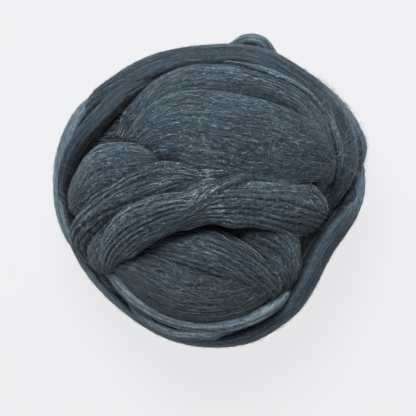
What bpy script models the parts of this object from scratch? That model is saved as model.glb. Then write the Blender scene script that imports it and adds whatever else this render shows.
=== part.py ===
"""A ball of combed wool roving, wound loosely by hand and lying on a table.

The ball is one length of roving. A plump core stands for the inner turns, and the outer turns are wraps laid over
it, each a flattened rope that keeps to the ball's surface. One closed skin is drawn over core and wraps, and its
underside is pressed flat where the ball rests. Tables are in degrees and millimetres: azimuth runs from +X towards
+Y, and elevation runs up from the ball's widest level. The origin is on the table, under the middle of the ball.
"""

import math
from collections import namedtuple

import bmesh
import bpy
from mathutils import Vector

MM = 0.001

# The core, from its middle: how far it reaches up and down, and outwards at every 30 degrees of azimuth.
CORE_RISE = 43.0
CORE_DROP = 42.0
CORE_REACH = (66, 67, 65, 62, 64, 68, 67, 64, 64, 67, 64, 58)

# The middle of the ball stands this high over the table, which presses the lowest wraps flat.
MIDDLE_HEIGHT = 46.5

# How finely a wrap is lofted: stations from one row of its table to the next, and points round its section.
STATIONS = 5
SECTION_POINTS = 20

# The skin: the ellipsoid that it shrinks from, its smoothing, and the share of its faces that is kept.
SKIN_REACH = 92.0
SKIN_HEIGHT = 68.0
SKIN_SUBDIVISIONS = 7
SMOOTHING = 0.5
SMOOTHING_PASSES = 4
KEPT_FACES = 0.135

# A row of a wrap: where its middle line runs, how far that line lies above the core, and its flattened section.
Row = namedtuple("Row", "azimuth elevation lift half_width half_thickness")

# The wraps that show from above, from the lowest to the last one laid.
WRAPS = {
    "outer_ring": (
        Row(150, -12, 2, 8, 5),
        Row(180, -10, 7, 10, 5),
        Row(205, -9, 7.5, 10, 5.5),
        Row(232, -8, 7, 10, 6),
        Row(268, -6, 6.5, 10, 6),
        Row(300, 2, 5.5, 10, 6),
        Row(322, 9, 5.5, 10, 6),
        Row(340, 8, 4.5, 10, 6),
        Row(356, 0, 4.5, 9, 6),
        Row(10, -6, 5, 8, 5.5),
        Row(28, -18, 1, 7, 5),
    ),
    "left_outer": (
        Row(128, -2, 1, 5, 4),
        Row(145, 2, 5.5, 6, 4.5),
        Row(160, 3, 7, 6, 4.5),
        Row(180, 2, 7.5, 6, 4.5),
        Row(200, 0, 7, 6, 4.5),
        Row(214, -6, 3, 5, 4),
    ),
    "left_inner": (
        Row(107, 4, 0, 4, 3),
        Row(120, 16, 3, 5, 4),
        Row(133, 19, 5, 5, 5),
        Row(145, 20, 6, 5, 5),
        Row(156, 17, 6, 5, 5),
        Row(170, 12, 7, 4, 5),
        Row(184, 5, 6, 3, 4),
        Row(198, 2, 2, 3, 3),
    ),
    "back_low": (
        Row(14, -9, -2, 8, 4),
        Row(32, -5, 2, 10, 5),
        Row(54, -3, 4, 10, 5),
        Row(80, -3, 4, 9, 5),
        Row(110, -3, 4, 9, 5),
        Row(135, -6, 3, 9, 5),
        Row(158, -14, -2, 7, 4),
    ),
    "right_low": (
        Row(80, -24, -1, 5, 4),
        Row(62, -14, 4, 6, 5),
        Row(46, -4, 6, 6, 5),
        Row(33, 1, 8, 6, 4.5),
        Row(24, 1, 9, 5, 4.5),
        Row(16, 0, 9, 5, 4.5),
        Row(9, -2, 5.5, 5, 4),
        Row(0, -6, 0, 5, 4),
        Row(350, -10, -6, 4, 3),
    ),
    "top_band": (
        Row(160, -8, -2, 4, 3),
        Row(145, 4, 4, 5, 5),
        Row(132, 12, 6, 7, 6),
        Row(112, 12, 6.5, 9, 6),
        Row(92, 9, 5.5, 9, 6),
        Row(73, 9, 6.5, 9, 6),
        Row(55, 12, 6.5, 9, 6),
        Row(38, 13, 7.5, 9, 6),
        Row(22, 12, 6.5, 8, 6),
        Row(8, 13, 3, 7, 5),
        Row(357, 13, -2, 5, 4),
        Row(347, 12, -6, 4, 3),
    ),
    "top_fold": (
        Row(92, 4, 0, 4, 3),
        Row(84, 3, 6, 4.5, 4),
        Row(78, 3, 12, 4.5, 4.5),
        Row(71, 3, 12.5, 4.5, 4.5),
        Row(64, 3, 7, 4.5, 4),
        Row(56, 5, 1, 4, 3),
    ),
    "shawl": (
        Row(158, 25, -8, 5, 4),
        Row(146, 26, -4, 8, 4),
        Row(132, 27, -1, 10, 5),
        Row(116, 26, 2, 11, 5),
        Row(98, 25, 3, 12, 5),
        Row(78, 25, 3, 12, 5),
        Row(58, 23, 3, 10, 5),
        Row(40, 20, 3, 9, 5),
        Row(26, 22, 3, 8.5, 5),
        Row(10, 25, 0, 7, 4),
        Row(353, 24, -5, 5, 4),
    ),
    "right_under": (
        Row(7, 4, -8, 5, 3),
        Row(358, 14, -5, 7, 4),
        Row(347, 19, -4, 8, 4),
        Row(334, 18, -4, 8, 4),
        Row(320, 14, -4, 7, 4),
        Row(306, 6, -5, 5.5, 4),
        Row(296, 2, -8, 4.5, 3),
    ),
    "bowl_under": (
        Row(214, 0, -4, 6, 3),
        Row(227, 5, 1, 8, 4),
        Row(240, 9, 3.5, 8.5, 4.5),
        Row(254, 10, 4.5, 8.5, 4.5),
        Row(268, 11, 3.5, 8.5, 4.5),
        Row(284, 10, 0, 7, 4),
        Row(300, 6, -5, 6, 3),
    ),
    "bowl": (
        Row(208, 6, -4, 5, 4),
        Row(217, 20, 1, 9, 5),
        Row(230, 28, 4, 13, 5.5),
        Row(249, 30, 5, 15, 6),
        Row(267, 31, 5, 15, 6),
        Row(286, 29, 4, 13.5, 5.5),
        Row(303, 22, 0, 9, 4),
        Row(317, 4, -5, 6, 3),
    ),
    "pocket_right": (
        Row(300, 62, -4, 7, 3),
        Row(318, 49, 0, 10, 4),
        Row(321, 36, 1, 11, 4),
        Row(317, 24, 1, 10, 4),
        Row(310, 10, -1, 8, 4),
        Row(302, 2, -5, 6, 3.5),
    ),
    "pocket": (
        Row(207, 14, -7, 6, 4),
        Row(214, 33, -3, 9, 4.5),
        Row(229, 47, 0, 12, 5),
        Row(254, 54, 2, 13.5, 5.5),
        Row(279, 51, 3, 12.5, 5.5),
        Row(293, 41, 3, 10.5, 5),
        Row(299, 28, 2, 9, 4.5),
        Row(301, 15, -1, 7, 4),
        Row(300, 4, -6, 5, 3),
    ),
    "lobe": (
        Row(137, 60, -4, 5, 3),
        Row(153, 54, 2, 7, 5),
        Row(162, 43, 5, 11, 5.5),
        Row(169, 31, 5.5, 11.5, 6),
        Row(178, 22, 4, 10, 6),
        Row(188, 5, 0, 7, 5),
        Row(196, 0, -5, 6, 4),
    ),
    "cap": (
        Row(162, 20, -8, 8, 4),
        Row(152, 36, -2, 11, 5),
        Row(135, 45, 4, 15.5, 6),
        Row(110, 52, 6, 20, 6),
        Row(75, 56, 6, 22, 6),
        Row(45, 49, 5, 21, 6),
        Row(28, 38, 4.5, 18, 6),
        Row(18, 23, 2.5, 15, 5),
        Row(12, 8, -5, 11, 4),
    ),
    "sash_under": (
        Row(221, 0, -5, 4, 4),
        Row(214, 3, 1, 7, 4.5),
        Row(208, 21, 4, 10, 5),
        Row(202, 38, 5, 12, 5),
        Row(197, 54, 5, 12.5, 5),
        Row(195, 72, 5, 12, 5),
        Row(100, 87, 4.5, 10, 4.5),
        Row(10, 76, 4, 10, 4),
        Row(0, 60, 3, 10, 4),
        Row(356, 44, 1, 9, 4),
        Row(352, 28, -4, 7, 3),
    ),
    "sash_upper": (
        Row(225, 0, -6, 4, 3),
        Row(217, 1, -1, 4.5, 4),
        Row(208, 4, 4, 5.5, 5),
        Row(200, 12, 7, 6, 5),
        Row(193, 26, 8, 7, 5),
        Row(186, 40, 9, 7.5, 5),
        Row(177, 53, 9, 8, 5),
        Row(167, 63, 9, 8, 5),
        Row(155, 72, 8, 6, 4),
        Row(138, 80, 6, 4, 3),
        Row(76, 84, 3, 3, 3),
        Row(17, 74, -2, 2.5, 3),
    ),
    "sash_lower": (
        Row(220, 2, -1, 3, 3.5),
        Row(215, 19, 4, 5.5, 4),
        Row(210, 32, 8, 8, 5),
        Row(206, 45, 10, 10, 5.5),
        Row(205, 57, 11, 10.5, 5.5),
        Row(207, 69, 11, 10, 5.5),
        Row(233, 80, 10.5, 10.5, 5.5),
        Row(309, 81, 10, 11.5, 5.5),
        Row(339, 71, 8, 12, 5),
        Row(344, 60, 6.5, 13, 4.5),
        Row(346, 48, 4.5, 13, 4),
        Row(346, 36, 2, 12, 4),
        Row(345, 22, -1, 10, 3.5),
        Row(344, 5, -5, 7, 3),
    ),
    "sash_twist": (
        Row(217, 20, 3, 2.5, 3),
        Row(215, 39, 9, 3, 3),
        Row(215, 53, 12, 4, 3),
        Row(219, 67, 13, 6, 3.5),
        Row(228, 79, 13.5, 7, 3.5),
        Row(312, 87, 12.5, 7, 3.5),
        Row(13, 76, 8.5, 5.5, 3),
        Row(16, 61, 2, 3, 3),
    ),
}

# The wraps that run under the ball, from one side of it to the other: the azimuth that each starts from, and how far
# it leans, which is how many degrees from the lowest point it passes.
UnderWrap = namedtuple("UnderWrap", "azimuth lean lift half_width half_thickness")
UNDER_WRAPS = (
    UnderWrap(10, 76, 3.5, 12, 5),
    UnderWrap(100, 74, 4, 12, 5),
    UnderWrap(190, 76, 3, 12, 5),
    UnderWrap(280, 75, 4, 12, 5),
    UnderWrap(55, 54, 3, 13, 5),
    UnderWrap(175, 50, 3.5, 13, 5),
    UnderWrap(295, 52, 2.5, 13, 5),
    UnderWrap(20, 28, 2, 14, 5),
    UnderWrap(140, 24, 3.5, 14, 5),
    UnderWrap(260, 26, 2.5, 14, 5),
    UnderWrap(75, 2, 2, 15, 5),
)
UNDER_WRAP_SWEEP = range(6, 175, 14)


def blend(before, start, end, after, share):
    """A smooth curve's value, share of the way from start to end."""
    turn = 2 * before - 5 * start + 4 * end - after + (3 * (start - end) + after - before) * share
    return start + 0.5 * share * (end - before + share * turn)


def direction(azimuth, elevation):
    level = math.cos(math.radians(elevation))
    turn = math.radians(azimuth)
    return Vector((level * math.cos(turn), level * math.sin(turn), math.sin(math.radians(elevation))))


def core_reach(way):
    """How far out the core reaches at its widest level, towards the azimuth of this direction."""
    count = len(CORE_REACH)
    place = math.degrees(math.atan2(way.y, way.x)) % 360 / 360 * count
    first = int(place)
    reaches = (CORE_REACH[(first + step) % count] for step in (-1, 0, 1, 2))
    return blend(*reaches, place - first)


def core_height(way):
    return CORE_RISE if way.z >= 0 else CORE_DROP


def core_radius(way):
    """The distance from the ball's middle to the core's surface along a unit direction."""
    return 1 / math.hypot(math.hypot(way.x, way.y) / core_reach(way), way.z / core_height(way))


def outward(point):
    """The core's outward normal below this point."""
    reach, height = core_reach(point), core_height(point)
    return Vector((point.x / reach**2, point.y / reach**2, point.z / height**2)).normalized()


def at_level(point, level):
    """The point moved in or out to a level, which is 1 on the core's surface and grows outwards."""
    way = point.normalized()
    return way * core_radius(way) * level


def under_rows(wrap):
    """The rows of a wrap that runs under the ball on a great circle."""
    start = direction(wrap.azimuth, -4)
    lowest = direction(wrap.azimuth + 90, wrap.lean - 90)
    for angle in UNDER_WRAP_SWEEP:
        way = start * math.cos(math.radians(angle)) + lowest * math.sin(math.radians(angle))
        azimuth = math.degrees(math.atan2(way.y, way.x))
        elevation = math.degrees(math.asin(way.normalized().z))
        yield Row(azimuth, elevation, wrap.lift, wrap.half_width, wrap.half_thickness)


def stations(rows):
    """The middle line as points with a level, a half width and a half thickness, evenly between the rows."""
    knots = []
    for row in rows:
        way = direction(row.azimuth, row.elevation)
        radius = core_radius(way) + row.lift
        knots.append((*(way * radius), radius / core_radius(way), row.half_width, row.half_thickness))
    knots = [knots[0], *knots, knots[-1]]
    found = []
    for before, start, end, after in zip(knots, knots[1:], knots[2:], knots[3:]):
        for step in range(STATIONS):
            found.append([blend(*values, step / STATIONS) for values in zip(before, start, end, after)])
    found.append(knots[-1])
    return [(at_level(Vector(values[:3]), values[3]), *values[3:]) for values in found]


def add_wrap(mesh, rows):
    """Lofts one wrap: its sections bend with the ball, so that it lies on it over its whole width."""
    line = stations(rows)
    rings = []
    for index, (middle, level, half_width, half_thickness) in enumerate(line):
        along = line[min(index + 1, len(line) - 1)][0] - line[max(index - 1, 0)][0]
        across = along.cross(outward(middle)).normalized()
        ring = []
        for step in range(SECTION_POINTS):
            turn = math.tau * step / SECTION_POINTS
            side = at_level(middle + across * half_width * math.cos(turn), level)
            place = side + outward(side) * half_thickness * math.sin(turn)
            ring.append(mesh.verts.new(place * MM))
        rings.append(ring)
    for ring, following in zip(rings, rings[1:]):
        for step in range(SECTION_POINTS):
            ahead = (step + 1) % SECTION_POINTS
            mesh.faces.new((ring[step], ring[ahead], following[ahead], following[step]))
    mesh.faces.new(rings[0])
    mesh.faces.new(rings[-1])


def add_core(mesh):
    ball = bmesh.ops.create_icosphere(mesh, subdivisions=5, radius=1)
    for vertex in ball["verts"]:
        vertex.co = at_level(vertex.co, 1) * MM


def new_object(name, mesh, collection):
    data = bpy.data.meshes.new(name)
    bmesh.ops.recalc_face_normals(mesh, faces=mesh.faces)
    mesh.to_mesh(data)
    mesh.free()
    made = bpy.data.objects.new(name, data)
    made.location.z = MIDDLE_HEIGHT * MM
    collection.objects.link(made)
    return made


def new_helper(name, mesh, collection):
    made = new_object(name, mesh, collection)
    made.hide_render = True
    made.display_type = "WIRE"
    return made


def add_turns(collection):
    """The core and every wrap in one guide object, which the skin is drawn over."""
    mesh = bmesh.new()
    add_core(mesh)
    for rows in WRAPS.values():
        add_wrap(mesh, rows)
    for wrap in UNDER_WRAPS:
        add_wrap(mesh, list(under_rows(wrap)))
    return new_helper("turns", mesh, collection)


def add_table(collection):
    """A block whose top is the table's surface, to press the ball's underside flat."""
    mesh = bmesh.new()
    bmesh.ops.create_cube(mesh, size=2 * SKIN_REACH * MM)
    bmesh.ops.translate(mesh, vec=(0, 0, -(SKIN_REACH + MIDDLE_HEIGHT) * MM), verts=mesh.verts)
    return new_helper("table_top", mesh, collection)


def wool():
    """Combed merino dyed charcoal: matt, with the soft sheen of its fibres."""
    material = bpy.data.materials.new("charcoal_wool")
    material.use_nodes = True
    shader = material.node_tree.nodes["Principled BSDF"]
    shader.inputs["Base Color"].default_value = (0.07, 0.09, 0.105, 1)
    shader.inputs["Roughness"].default_value = 0.75
    shader.inputs["Metallic"].default_value = 0
    shader.inputs["Sheen Weight"].default_value = 0.3
    return material


def add_ball(collection, turns, table):
    """The ball's skin, shrunk from outside onto the turns and pressed flat underneath."""
    mesh = bmesh.new()
    skin = bmesh.ops.create_icosphere(mesh, subdivisions=SKIN_SUBDIVISIONS, radius=MM)
    bmesh.ops.scale(mesh, vec=(SKIN_REACH, SKIN_REACH, SKIN_HEIGHT), verts=skin["verts"])
    ball = new_object("roving_ball", mesh, collection)
    ball.data.materials.append(wool())
    ball.data.shade_smooth()

    shrink = ball.modifiers.new("shrink_onto_turns", "SHRINKWRAP")
    shrink.wrap_method = "PROJECT"
    shrink.use_negative_direction = True
    shrink.use_positive_direction = False
    shrink.target = turns

    smooth = ball.modifiers.new("soften_creases", "SMOOTH")
    smooth.factor = SMOOTHING
    smooth.iterations = SMOOTHING_PASSES

    thin_out = ball.modifiers.new("thin_out_faces", "DECIMATE")
    thin_out.ratio = KEPT_FACES

    rest = ball.modifiers.new("rest_on_table", "BOOLEAN")
    rest.operation = "DIFFERENCE"
    rest.object = table
    return ball


def new_collection(name):
    made = bpy.data.collections.new(name)
    bpy.context.scene.collection.children.link(made)
    return made


def main():
    for old in list(bpy.data.objects):
        bpy.data.objects.remove(old)
    guides = new_collection("guides")
    turns = add_turns(guides)
    table = add_table(guides)
    add_ball(new_collection("ball_of_roving"), turns, table)


main()
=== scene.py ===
"""The looks of a hand-wound ball of combed wool roving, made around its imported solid.

Tables are in degrees and millimetres, measured from the ball's middle: azimuth runs from +X towards +Y, and
elevation runs up from the ball's widest level.
"""

from collections import namedtuple

import bmesh
import bpy
import numpy as np
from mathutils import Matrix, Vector
from mathutils.bvhtree import BVHTree


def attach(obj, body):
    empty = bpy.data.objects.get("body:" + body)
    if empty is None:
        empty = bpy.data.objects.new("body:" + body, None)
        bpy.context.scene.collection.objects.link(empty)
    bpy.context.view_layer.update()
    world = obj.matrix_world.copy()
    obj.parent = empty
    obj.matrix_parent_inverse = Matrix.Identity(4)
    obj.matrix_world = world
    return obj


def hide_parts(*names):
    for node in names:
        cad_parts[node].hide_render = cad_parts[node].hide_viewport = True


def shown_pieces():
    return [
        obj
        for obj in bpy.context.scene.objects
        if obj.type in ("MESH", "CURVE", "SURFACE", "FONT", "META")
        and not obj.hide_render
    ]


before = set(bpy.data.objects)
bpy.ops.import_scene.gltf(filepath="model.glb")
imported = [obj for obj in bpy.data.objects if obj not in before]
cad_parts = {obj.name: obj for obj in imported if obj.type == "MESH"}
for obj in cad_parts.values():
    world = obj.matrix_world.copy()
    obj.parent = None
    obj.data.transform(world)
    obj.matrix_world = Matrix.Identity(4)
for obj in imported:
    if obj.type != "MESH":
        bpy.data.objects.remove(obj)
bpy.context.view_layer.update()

# --------------------------------------------------------------------------------------------------------
# The heart of the ball: the first turns of the roving, wound into a plump cushion. It is all but hidden,
# and shows only as a dark floor at the bottom of the gaps between the wraps, so its wool is painted near
# black as painted shade for them.
# --------------------------------------------------------------------------------------------------------

MM = 0.001
TAU = 2 * np.pi

# How far the heart reaches up and down from its middle, and outwards at every 30 degrees of azimuth.
CORE_RISE = 43.0
CORE_DROP = 42.0
CORE_REACH = np.array((66, 67, 65, 62, 64, 68, 67, 64, 64, 67, 64, 58), float)

# The height of the middle over the table, and how softly the lowest wraps are pressed flat against it.
MIDDLE_HEIGHT = 46.5
PRESS_SOFTNESS = 1.2

# The inner turns' own lumps: their depth, their size on a core that reaches this far out, and the place in the
# noise's lattice that they are taken from.
CORE_LUMP = 1.2
CORE_LUMP_SIZE = 9.0
LUMP_REACH, LUMP_SHIFT = 60, 20


def blend(before, start, end, after, share):
    """A smooth curve's value, share of the way from start to end."""
    turn = 2 * before - 5 * start + 4 * end - after + (3 * (start - end) + after - before) * share
    return start + 0.5 * share * (end - before + share * turn)


def unit(vectors):
    return vectors / np.linalg.norm(vectors, axis=-1, keepdims=True)


def directions(azimuth, elevation):
    azimuth, elevation = np.radians(azimuth), np.radians(elevation)
    level = np.cos(elevation)
    return np.stack((level * np.cos(azimuth), level * np.sin(azimuth), np.sin(elevation)), -1)


def core_axes(points):
    """The core's reach and its height towards each point."""
    count = len(CORE_REACH)
    place = np.degrees(np.arctan2(points[..., 1], points[..., 0])) % 360 / 360 * count
    first = np.floor(place).astype(int)
    reach = blend(*(CORE_REACH[(first + step) % count] for step in (-1, 0, 1, 2)), place - first)
    return reach, np.where(points[..., 2] >= 0, CORE_RISE, CORE_DROP)


def core_radius(ways):
    reach, height = core_axes(ways)
    return 1 / np.hypot(np.hypot(ways[..., 0], ways[..., 1]) / reach, ways[..., 2] / height)


def at_level(points, level):
    """The points moved in or out to a level, which is 1 on the core's surface and grows outwards."""
    ways = unit(points)
    return ways * (core_radius(ways) * level)[..., None]


def outward(points):
    """The core's outward normal below each point."""
    reach, height = core_axes(points)
    return unit(points / np.stack((reach, reach, height), -1) ** 2)


def smooth_noise(seed, *places):
    """Random values from -1 to 1 that change smoothly over a lattice, one unit wide in both directions."""
    lattice = np.random.default_rng(seed).uniform(-1, 1, (64, 64))
    first, second = np.broadcast_arrays(*places)
    corner = [np.floor(place).astype(int) for place in (first, second)]
    ease = [(3 - 2 * share) * share**2 for share in (first - corner[0], second - corner[1])]
    near, far = (lattice[(corner[0] + step) % 64, corner[1] % 64] * (1 - ease[1])
                 + lattice[(corner[0] + step) % 64, (corner[1] + 1) % 64] * ease[1] for step in (0, 1))
    return near * (1 - ease[0]) + far * ease[0]


def on_table(points):
    """Places in metres over the table, with what would sink into it pressed flat."""
    placed = points + np.array((0, 0, MIDDLE_HEIGHT))
    placed[..., 2] = PRESS_SOFTNESS * np.logaddexp(0, placed[..., 2] / PRESS_SOFTNESS)
    return placed * MM


def linear(hex_colour):
    """An sRGB hex colour as linear red, green, blue and alpha."""
    shares = [int(hex_colour[start:start + 2], 16) / 255 for start in (1, 3, 5)]
    return (*(s / 12.92 if s <= 0.04045 else ((s + 0.055) / 1.055) ** 2.4 for s in shares), 1)


def add_node(material, kind, settings=None, **links):
    """Adds a node: settings name its properties or inputs, and links name its inputs and what feeds them."""
    tree = material.node_tree
    node = tree.nodes.new(kind)
    for name, value in (settings or {}).items():
        if hasattr(node, name):
            setattr(node, name, value)
        else:
            node.inputs[name].default_value = value
    for name, source in links.items():
        socket = node.inputs[int(name[1:])] if name[0] == "_" else node.inputs[name]
        tree.links.new(source, socket)
    return node


def ramp(material, source, *stops):
    """A colour ramp with a stop at each share, from the lowest to the highest."""
    node = add_node(material, "ShaderNodeValToRGB", _0=source)
    elements = node.color_ramp.elements
    while len(elements) < len(stops):
        elements.new(0.5)
    for element, (share, colour) in zip(elements, stops):
        element.position = share
        element.color = linear(colour)
    return node.outputs["Color"]


# Combed wool of a dark slate colour: matt from afar, with a soft sheen where the fibres catch the light.
# Its fibres lie side by side, but up close the grain is short: strands a few millimetres across, made wavy
# by the crimp and broken up by flecks that are longer along the roving than across it, and by a felt of
# finer ones.
STRAND_ACROSS, STRAND_ALONG, STRAND_WEIGHT = 2.4, 26.0, 0.55
FLECK_ACROSS, FLECK_ALONG, FLECK_WEIGHT = 0.85, 3.2, 1.5
FELT_ACROSS, FELT_ALONG, FELT_WEIGHT = 0.7, 1.0, 0.9
CRIMP_ACROSS, CRIMP_ALONG, CRIMP_DEPTH = 2.4, 2.2, 0.7

# The strands part along thin fissures, and painted shade darkens the wool's colour in them and in the
# creases and hollows, where less light reaches: how narrow a fissure is, as a share of the strands' grain, and
# how much painted shade both get.
FISSURE, FISSURE_SHADE = 0.025, 0.22
PAINTED_SHADING_WEIGHT = 0.37


def combed_wool(name, deep, dark, middle, light, pale, bump_mm, contrast):
    """Wool in five tones, from a hollow's painted shade to an edge's painted light, with its grain's height
    and contrast.
    """
    material = bpy.data.materials.new(name)
    material.use_nodes = True
    shader = material.node_tree.nodes["Principled BSDF"]
    shader.inputs["Roughness"].default_value = 0.8
    shader.inputs["Specular IOR Level"].default_value = 0.25
    shader.inputs["Sheen Weight"].default_value = 0.7
    shader.inputs["Sheen Roughness"].default_value = 0.25
    shader.inputs["Sheen Tint"].default_value = linear("#b6cddc")
    run = add_node(material, "ShaderNodeUVMap", {"uv_map": "run"}).outputs["UV"]

    def scaled(across, along, source):
        return add_node(material, "ShaderNodeMapping", {"Scale": (1 / along, 1 / across, 1)},
                        Vector=source).outputs["Vector"]

    def grain(across, along, source, detail):
        settings = {"Scale": 1, "Detail": detail, "Roughness": 0.6}
        return add_node(material, "ShaderNodeTexNoise", settings, Vector=scaled(across, along, source))

    def weighed(source, weight, total=None):
        """Adds a grain to a total. The first starts so low that all three average at the ramp's middle."""
        node = add_node(material, "ShaderNodeMath", {"operation": "MULTIPLY_ADD"}, _0=source.outputs["Fac"])
        node.inputs[1].default_value = weight * contrast
        node.inputs[2].default_value = 0.5 - 0.5 * contrast * (STRAND_WEIGHT + FLECK_WEIGHT + FELT_WEIGHT)
        if total:
            material.node_tree.links.new(total.outputs["Value"], node.inputs[2])
        return node

    crimp = grain(CRIMP_ACROSS, CRIMP_ALONG, run, 1)
    centred = add_node(material, "ShaderNodeVectorMath", {"operation": "SUBTRACT"},
                       _0=crimp.outputs["Color"])
    centred.inputs[1].default_value = (0.5, 0.5, 0.5)
    sideways = add_node(material, "ShaderNodeVectorMath", {"operation": "MULTIPLY"},
                        _0=centred.outputs["Vector"])
    sideways.inputs[1].default_value = (0, 2 * CRIMP_DEPTH, 0)
    crimped = add_node(material, "ShaderNodeVectorMath", {"operation": "ADD"},
                       _0=run, _1=sideways.outputs["Vector"]).outputs["Vector"]
    strands = grain(STRAND_ACROSS, STRAND_ALONG, crimped, 2)
    flecks = grain(FLECK_ACROSS, FLECK_ALONG, crimped, 2)
    felt = grain(FELT_ACROSS, FELT_ALONG, crimped, 1)
    grained = weighed(felt, FELT_WEIGHT, weighed(flecks, FLECK_WEIGHT, weighed(strands, STRAND_WEIGHT)))
    level = add_node(material, "ShaderNodeMath", {"operation": "SUBTRACT"}, _0=strands.outputs["Fac"])
    level.inputs[1].default_value = 0.5
    parting = add_node(material, "ShaderNodeMath", {"operation": "ABSOLUTE"}, _0=level.outputs["Value"])
    fissure = add_node(material, "ShaderNodeMapRange",
                       {"From Max": FISSURE, "To Min": -FISSURE_SHADE * contrast, "To Max": 0},
                       Value=parting.outputs["Value"])
    fissured = add_node(material, "ShaderNodeMath", {"operation": "ADD"},
                        _0=grained.outputs["Value"], _1=fissure.outputs["Result"])
    dimness = add_node(material, "ShaderNodeAttribute", {"attribute_name": "dimness"})
    dimmed = add_node(material, "ShaderNodeMath", {"operation": "MULTIPLY_ADD"},
                      _0=dimness.outputs["Fac"], _2=fissured.outputs["Value"])
    dimmed.inputs[1].default_value = -PAINTED_SHADING_WEIGHT
    stops = (0, deep), (0.3, dark), (0.5, middle), (0.7, light), (1, pale)
    colour = ramp(material, dimmed.outputs["Value"], *stops)
    material.node_tree.links.new(colour, shader.inputs["Base Color"])
    relief = add_node(material, "ShaderNodeMath", {"operation": "MULTIPLY_ADD"},
                      _0=fissure.outputs["Result"], _2=flecks.outputs["Fac"])
    relief.inputs[1].default_value = 2
    bump = add_node(material, "ShaderNodeBump", {"Strength": 1, "Distance": bump_mm * MM},
                    Height=relief.outputs["Value"])
    material.node_tree.links.new(bump.outputs["Normal"], shader.inputs["Normal"])
    return material


wool = combed_wool("combed_wool", "#10161a", "#232e36", "#3b4b55", "#66767f", "#8d9aa1", 0.8, 1.05)
parted_wool = combed_wool("parted_wool", "#10161a", "#232e36", "#3b4b55", "#66767f", "#8d9aa1", 1.0, 1.3)
smooth_wool = combed_wool("smooth_wool", "#10161a", "#232e36", "#394852", "#5f6f78", "#87949b", 0.4, 0.35)
# The heart's wool, painted near black: painted shade for the bottom of the gaps between the wraps.
painted_shade_wool = combed_wool("heart_wool_painted_shade", "#08090a", "#0c0f11", "#14191c", "#20272b", "#2c353a", 0.9, 1)


def finish_piece(piece, material):
    """Puts a finished mesh in the scene as part of the ball."""
    bpy.context.scene.collection.objects.link(piece)
    piece.data.materials.append(material)
    piece.data.shade_smooth()
    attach(piece, "root")
    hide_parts("roving_ball")
    return piece


heart = bmesh.new()
baked = heart.loops.layers.uv.new("OFBake")
bmesh.ops.create_icosphere(heart, subdivisions=5, radius=1, calc_uvs=True)
run = heart.loops.layers.uv.new("run")
ways = np.array([vertex.co for vertex in heart.verts])
lumps = smooth_noise(11, *(ways[:, :2] * LUMP_REACH / CORE_LUMP_SIZE + LUMP_SHIFT).T)
places = on_table(at_level(ways, 1) + outward(ways) * (CORE_LUMP * lumps)[:, None])
for vertex, place in zip(heart.verts, places):
    vertex.co = place
for face in heart.faces:
    for loop in face.loops:
        loop[run].uv = loop.vert.co.xy / MM
heart_mesh = bpy.data.meshes.new("heart")
heart.to_mesh(heart_mesh)
heart.free()
finish_piece(bpy.data.objects.new("heart", heart_mesh), painted_shade_wool)

# --------------------------------------------------------------------------------------------------------
# The wraps that show from above. Each is a flattened rope of fibres, drawn together here and fanned out
# there, with its ends tucked in under others.
# --------------------------------------------------------------------------------------------------------

# How finely a wrap is lofted: the distance between its sections, how far apart points lie round them, how
# much those crowd to the outer side, and at how many steps its course is worked out between two rows. The
# loft is closed where points are nearer than the last.
SECTION_EVERY = 2.2
POINT_EVERY = 0.55
TOP_CROWDING = 0.45
COURSE_STEPS = 24
WELD = 0.001

# A wrap closes over this length at its ends, which are tucked in under others.
END_LENGTH = 7.0

# The edges of a wrap wander in and out over this length, its ridges keep their course over the next, and a
# crease between two of them opens and shuts over the last.
WANDER_LENGTH = 13.0
RIDGE_LENGTH = 45.0
CREASE_LENGTH = 22.0

# How far the ridges stray from a straight course, counted in ridges, and how many of them stray together.
# How narrow the creases are beside the ridges, how far a ridge's crest stands out as a share of its depth,
# and how deep and broad the finest creases and ridges are beside the main ones.
RIDGE_SWAY, RIDGES_TOGETHER = 0.9, 2.5
CREASE_SHARPNESS = 1.7
CREST = 0.3
FINE_CREASES, FINE_BREADTH = 0.3, 0.4

# The wraps also swell and sink a little, over patches this long and this broad.
SWELL, SWELL_LENGTH, SWELL_BREADTH = 0.6, 24.0, 9.0

# Towards its two edges a wrap can have painted light, paler than its middle, or painted shade, dimmer than
# it, over this breadth.
EDGE_BREADTH = 4.5

# The ridges' course is drawn from a wrap's own seed, and the other kinds of noise from that plus one of
# these.
OPENING_SEED, WANDER_SEED, SWELL_SEED, FINE_SEED, EDGE_SEED = 50, 100, 150, 200, 250

# A row of a wrap: where its middle line runs, how far that line lies above the core, and its flattened
# section.
Row = namedtuple("Row", "azimuth elevation lift half_width half_thickness")

# How a wrap's fibres are gathered: the ridges' breadth and depth, which also sets how much painted shade
# their creases get, how far they turn about it over its length, how thin its edges are, from 0 for a round
# rope, the share of its width by which they wander, and how much painted light makes them paler than its
# middle, or painted shade dimmer if below 0. The right edge is the one to the right along its rows, from
# outside.
Lay = namedtuple("Lay", "ridge_breadth ridge_depth twist thin_edges wander pale_right pale_left")
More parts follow.
